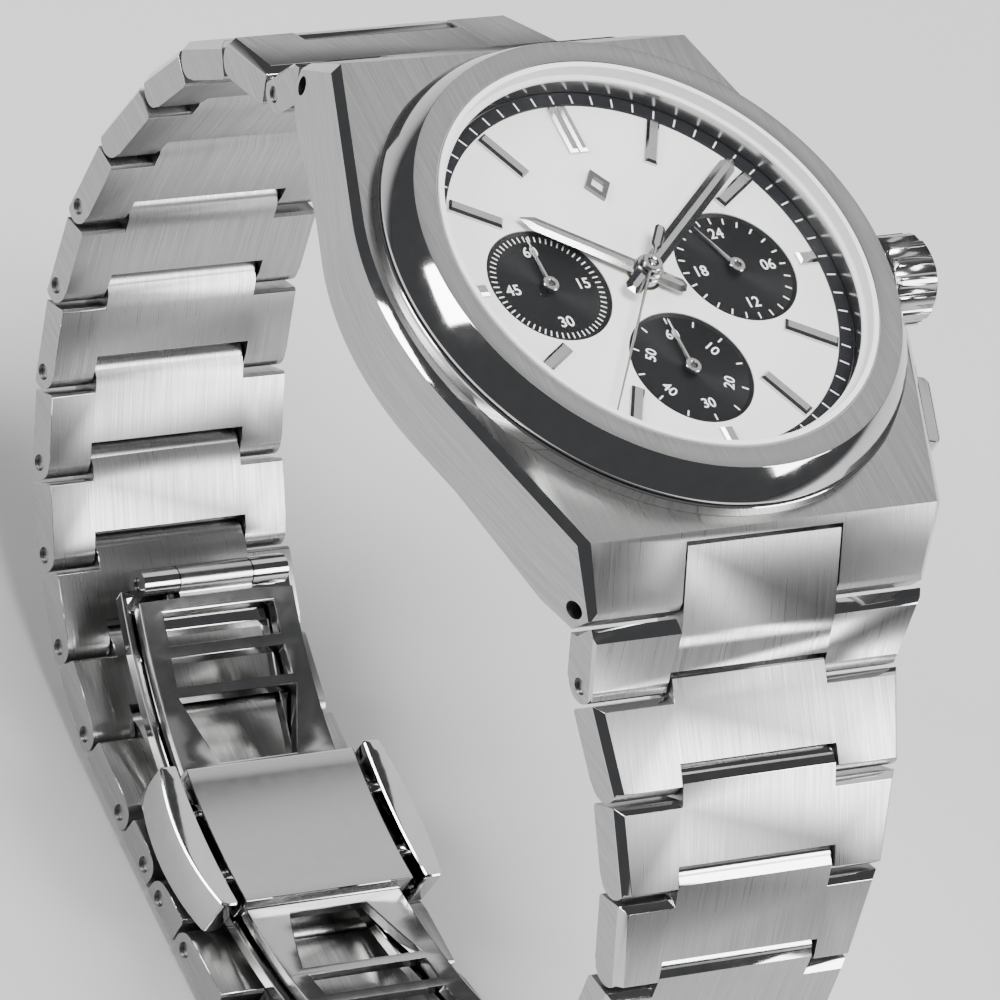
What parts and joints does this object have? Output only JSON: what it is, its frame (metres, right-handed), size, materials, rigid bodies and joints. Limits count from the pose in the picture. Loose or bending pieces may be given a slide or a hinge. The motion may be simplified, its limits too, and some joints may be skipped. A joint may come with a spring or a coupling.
{
  "type": "wristwatch",
  "caption": "Chronograph wristwatch on a closed link bracelet, with round bezel, three subdials, fluted crown, two pushers and a two-armed folding clasp.",
  "frame": {"origin": "centre of the case back's flat outer face", "axes": "+Z out through the crystal, +Y towards 12 o'clock, +X towards the crown at 3 o'clock; the bracelet loop hangs below in the YZ plane"},
  "size_m": [0.0444, 0.0784, 0.0673],
  "materials": {
    "steel_brushed": "brushed",
    "steel_polished": "polished",
    "crystal": "clear",
    "gasket_white": "satin",
    "dial_white": "matte",
    "dial_black": "matte",
    "marker": "polished",
    "hand": "polished",
    "movement": "satin",
    "movement_steel": "brushed",
    "holder": "matte",
    "seal": "matte",
    "spring": "plain"
  },
  "bodies": {
    "case": {"case_middle": "steel_brushed", "bezel": "steel_polished", "crystal": "crystal", "crystal_gasket": "gasket_white", "rehaut": "steel_brushed", "minute_ring": "dial_black", "dial": "dial_white", "hour_markers": "marker", "subdials": "dial_black", "movement_plate": "movement", "train_bridge": "movement_steel", "battery": "movement_steel", "movement_ring": "holder", "case_back": "steel_brushed", "case_back_gasket": "seal", "pusher_spring_upper": "spring", "pusher_spring_lower": "spring"},
    "minute_hand": {"minute_hand": "hand"},
    "hour_hand": {"hour_hand": "hand"},
    "chrono_seconds_hand": {"chrono_seconds_hand": "hand"},
    "minute_counter_hand": {"minute_counter_hand": "hand"},
    "small_seconds_hand": {"small_seconds_hand": "hand"},
    "hour24_hand": {"hour24_hand": "hand"},
    "crown_stem": {"crown_stem": "movement_steel"},
    "crown": {"crown": "steel_polished"},
    "pusher_upper": {"pusher_upper": "steel_polished"},
    "pusher_lower": {"pusher_lower": "steel_polished"},
    "clasp_bar": {"clasp_bar": "steel_polished"},
    "clasp_arm_upper": {"clasp_arm_upper": "steel_polished"},
    "clasp_arm_lower": {"clasp_arm_lower": "steel_polished"},
    "clasp_button_left": {"clasp_button_left": "steel_polished"},
    "clasp_button_right": {"clasp_button_right": "steel_polished"},
    "link_upper_01": {"link_upper_01": "steel_brushed"},
    "link_upper_02": {"link_upper_02": "steel_brushed"},
    "link_upper_03": {"link_upper_03": "steel_brushed"},
    "link_upper_04": {"link_upper_04": "steel_brushed"},
    "link_upper_05": {"link_upper_05": "steel_brushed"},
    "link_upper_06": {"link_upper_06": "steel_brushed"},
    "link_upper_07": {"link_upper_07": "steel_brushed"},
    "link_upper_08": {"link_upper_08": "steel_brushed"},
    "link_upper_09": {"link_upper_09": "steel_brushed"},
    "link_upper_10": {"link_upper_10": "steel_brushed"},
    "link_upper_11": {"link_upper_11": "steel_brushed"},
    "link_upper_12": {"link_upper_12": "steel_brushed"},
    "link_upper_13": {"link_upper_13": "steel_brushed"},
    "link_upper_14": {"link_upper_14": "steel_brushed"},
    "link_lower_01": {"link_lower_01": "steel_brushed"},
    "link_lower_02": {"link_lower_02": "steel_brushed"},
    "link_lower_03": {"link_lower_03": "steel_brushed"},
    "link_lower_04": {"link_lower_04": "steel_brushed"},
    "link_lower_05": {"link_lower_05": "steel_brushed"},
    "link_lower_06": {"link_lower_06": "steel_brushed"},
    "link_lower_07": {"link_lower_07": "steel_brushed"},
    "link_lower_08": {"link_lower_08": "steel_brushed"},
    "link_lower_09": {"link_lower_09": "steel_brushed"},
    "link_lower_10": {"link_lower_10": "steel_brushed"},
    "link_lower_11": {"link_lower_11": "steel_brushed"},
    "link_lower_12": {"link_lower_12": "steel_brushed"},
    "link_lower_13": {"link_lower_13": "steel_brushed"},
    "link_lower_14": {"link_lower_14": "steel_brushed"}
  },
  "joints": [
    {"name": "lower_01_pivot", "type": "hinge", "parent": "case", "child": "link_lower_01", "pos_m": [0, -0.02143, 0.00303], "axis": [-1, 0, 0], "range_deg": [0, 5]},
    {"name": "lower_02_pivot", "type": "hinge", "parent": "link_lower_01", "child": "link_lower_02", "pos_m": [0, -0.02429, -0.00155], "axis": [-1, 0, 0], "range_deg": [0, 5]},
    {"name": "lower_03_pivot", "type": "hinge", "parent": "link_lower_02", "child": "link_lower_03", "pos_m": [0, -0.0297, -0.00506], "axis": [-1, 0, 0], "range_deg": [0, 12]},
    {"name": "lower_04_pivot", "type": "hinge", "parent": "link_lower_03", "child": "link_lower_04", "pos_m": [0, -0.0341, -0.00978], "axis": [-1, 0, 0], "range_deg": [0, 12]},
    {"name": "lower_05_pivot", "type": "hinge", "parent": "link_lower_04", "child": "link_lower_05", "pos_m": [0, -0.03713, -0.01547], "axis": [-1, 0, 0], "range_deg": [0, 12]},
    {"name": "lower_06_pivot", "type": "hinge", "parent": "link_lower_05", "child": "link_lower_06", "pos_m": [0, -0.03869, -0.02173], "axis": [-1, 0, 0], "range_deg": [0, 12]},
    {"name": "lower_07_pivot", "type": "hinge", "parent": "link_lower_06", "child": "link_lower_07", "pos_m": [0, -0.0388, -0.02818], "axis": [-1, 0, 0], "range_deg": [0, 12]},
    {"name": "lower_08_pivot", "type": "hinge", "parent": "link_lower_07", "child": "link_lower_08", "pos_m": [0, -0.03757, -0.03451], "axis": [-1, 0, 0], "range_deg": [0, 12]},
    {"name": "lower_09_pivot", "type": "hinge", "parent": "link_lower_08", "child": "link_lower_09", "pos_m": [0, -0.03495, -0.04041], "axis": [-1, 0, 0], "range_deg": [0, 12]},
    {"name": "lower_10_pivot", "type": "hinge", "parent": "link_lower_09", "child": "link_lower_10", "pos_m": [0, -0.03116, -0.04562], "axis": [-1, 0, 0], "range_deg": [0, 12]},
    {"name": "lower_11_pivot", "type": "hinge", "parent": "link_lower_10", "child": "link_lower_11", "pos_m": [0, -0.02629, -0.04986], "axis": [-1, 0, 0], "range_deg": [0, 12]},
    {"name": "lower_12_pivot", "type": "hinge", "parent": "link_lower_11", "child": "link_lower_12", "pos_m": [0, -0.02059, -0.05288], "axis": [-1, 0, 0], "range_deg": [0, 12]},
    {"name": "lower_13_pivot", "type": "hinge", "parent": "link_lower_12", "child": "link_lower_13", "pos_m": [0, -0.01439, -0.05466], "axis": [-1, 0, 0], "range_deg": [0, 12]},
    {"name": "lower_14_pivot", "type": "hinge", "parent": "link_lower_13", "child": "link_lower_14", "pos_m": [0, -0.00795, -0.055], "axis": [-1, 0, 0], "range_deg": [0, 12]},
    {"name": "clasp_lower_pivot", "type": "hinge", "parent": "link_lower_14", "child": "clasp_arm_lower", "pos_m": [0, -0.0036, -0.055], "axis": [-1, 0, 0], "range_deg": [0, 60]},
    {"name": "clasp_lower_fold", "type": "hinge", "parent": "clasp_arm_lower", "child": "clasp_bar", "pos_m": [0, -0.02153, -0.04801], "axis": [1, 0, 0], "range_deg": [0, 60]},
    {"name": "clasp_upper_fold", "type": "hinge", "parent": "clasp_bar", "child": "clasp_arm_upper", "pos_m": [0, 0.01644, -0.0464], "axis": [1, 0, 0], "range_deg": [0, 60]},
    {"name": "clasp_upper_pivot", "type": "hinge", "parent": "clasp_arm_upper", "child": "link_upper_14", "pos_m": [0, -0.00083, -0.05488], "axis": [-1, 0, 0], "range_deg": [0, 60]},
    {"name": "upper_13_pivot", "type": "hinge", "parent": "link_upper_14", "child": "link_upper_13", "pos_m": [0, 0.00352, -0.05481], "axis": [-1, 0, 0], "range_deg": [0, 12]},
    {"name": "upper_12_pivot", "type": "hinge", "parent": "link_upper_13", "child": "link_upper_12", "pos_m": [0, 0.00996, -0.05447], "axis": [-1, 0, 0], "range_deg": [0, 12]},
    {"name": "upper_11_pivot", "type": "hinge", "parent": "link_upper_12", "child": "link_upper_11", "pos_m": [0, 0.01616, -0.05269], "axis": [-1, 0, 0], "range_deg": [0, 12]},
    {"name": "upper_10_pivot", "type": "hinge", "parent": "link_upper_11", "child": "link_upper_10", "pos_m": [0, 0.0218, -0.04956], "axis": [-1, 0, 0], "range_deg": [0, 12]},
    {"name": "upper_09_pivot", "type": "hinge", "parent": "link_upper_10", "child": "link_upper_09", "pos_m": [0, 0.02674, -0.04542], "axis": [-1, 0, 0], "range_deg": [0, 12]},
    {"name": "upper_08_pivot", "type": "hinge", "parent": "link_upper_09", "child": "link_upper_08", "pos_m": [0, 0.03089, -0.04048], "axis": [-1, 0, 0], "range_deg": [0, 12]},
    {"name": "upper_07_pivot", "type": "hinge", "parent": "link_upper_08", "child": "link_upper_07", "pos_m": [0, 0.03411, -0.03489], "axis": [-1, 0, 0], "range_deg": [0, 12]},
    {"name": "upper_06_pivot", "type": "hinge", "parent": "link_upper_07", "child": "link_upper_06", "pos_m": [0, 0.03621, -0.02879], "axis": [-1, 0, 0], "range_deg": [0, 12]},
    {"name": "upper_05_pivot", "type": "hinge", "parent": "link_upper_06", "child": "link_upper_05", "pos_m": [0, 0.03689, -0.02238], "axis": [-1, 0, 0], "range_deg": [0, 12]},
    {"name": "upper_04_pivot", "type": "hinge", "parent": "link_upper_05", "child": "link_upper_04", "pos_m": [0, 0.0361, -0.01598], "axis": [-1, 0, 0], "range_deg": [0, 12]},
    {"name": "upper_03_pivot", "type": "hinge", "parent": "link_upper_04", "child": "link_upper_03", "pos_m": [0, 0.03379, -0.00995], "axis": [-1, 0, 0], "range_deg": [0, 12]},
    {"name": "upper_02_pivot", "type": "hinge", "parent": "link_upper_03", "child": "link_upper_02", "pos_m": [0, 0.02982, -0.00487], "axis": [-1, 0, 0], "range_deg": [0, 12]},
    {"name": "upper_01_pivot", "type": "hinge", "parent": "link_upper_02", "child": "link_upper_01", "pos_m": [0, 0.02429, -0.00155], "axis": [-1, 0, 0], "range_deg": [0, 5]},
    {"name": "button_left_press", "type": "slide", "parent": "clasp_bar", "child": "clasp_button_left", "axis": [1, 0, 0], "range_m": [0, 0.0006], "stiffness_N_per_m": 300},
    {"name": "button_right_press", "type": "slide", "parent": "clasp_bar", "child": "clasp_button_right", "axis": [-1, 0, 0], "range_m": [0, 0.0006], "stiffness_N_per_m": 300},
    {"name": "pusher_upper_press", "type": "slide", "parent": "case", "child": "pusher_upper", "axis": [-0.9435, -0.3313, 0], "range_m": [0, 0.0007], "stiffness_N_per_m": 400, "deforming": ["pusher_spring_upper"]},
    {"name": "pusher_lower_press", "type": "slide", "parent": "case", "child": "pusher_lower", "axis": [-0.9435, 0.3313, 0], "range_m": [0, 0.0007], "stiffness_N_per_m": 400, "deforming": ["pusher_spring_lower"]},
    {"name": "crown_pull", "type": "slide", "parent": "case", "child": "crown_stem", "axis": [1, 0, 0], "range_m": [0, 0.001]},
    {"name": "crown_turn", "type": "hinge", "parent": "crown_stem", "child": "crown", "pos_m": [0.0225, 0, 0.00475], "axis": [1, 0, 0], "continuous": true},
    {"name": "minute_turn", "type": "hinge", "parent": "case", "child": "minute_hand", "pos_m": [0, 0, 0.009], "axis": [0, 0, -1], "continuous": true},
    {"name": "hour_turn", "type": "hinge", "parent": "case", "child": "hour_hand", "pos_m": [0, 0, 0.009], "axis": [0, 0, -1], "continuous": true},
    {"name": "hour24_turn", "type": "hinge", "parent": "case", "child": "hour24_hand", "pos_m": [0.0075, 0, 0.0084], "axis": [0, 0, -1], "continuous": true},
    {"name": "small_seconds_turn", "type": "hinge", "parent": "case", "child": "small_seconds_hand", "pos_m": [0, -0.0075, 0.0084], "axis": [0, 0, -1], "continuous": true},
    {"name": "chrono_seconds_turn", "type": "hinge", "parent": "case", "child": "chrono_seconds_hand", "pos_m": [0, 0, 0.009], "axis": [0, 0, -1], "continuous": true},
    {"name": "minute_counter_turn", "type": "hinge", "parent": "case", "child": "minute_counter_hand", "pos_m": [-0.0075, 0, 0.0084], "axis": [0, 0, -1], "continuous": true}
  ],
  "couplings": [
    {"joint": "clasp_lower_fold", "follows": "clasp_lower_pivot", "ratio": 1},
    {"joint": "clasp_upper_fold", "follows": "clasp_lower_pivot", "ratio": 1},
    {"joint": "clasp_upper_pivot", "follows": "clasp_lower_pivot", "ratio": 1},
    {"joint": "hour_turn", "follows": "minute_turn", "ratio": 0.083333},
    {"joint": "hour24_turn", "follows": "minute_turn", "ratio": 0.041667},
    {"joint": "small_seconds_turn", "follows": "minute_turn", "ratio": 60},
    {"joint": "minute_counter_turn", "follows": "chrono_seconds_turn", "ratio": 0.016667}
  ]
}
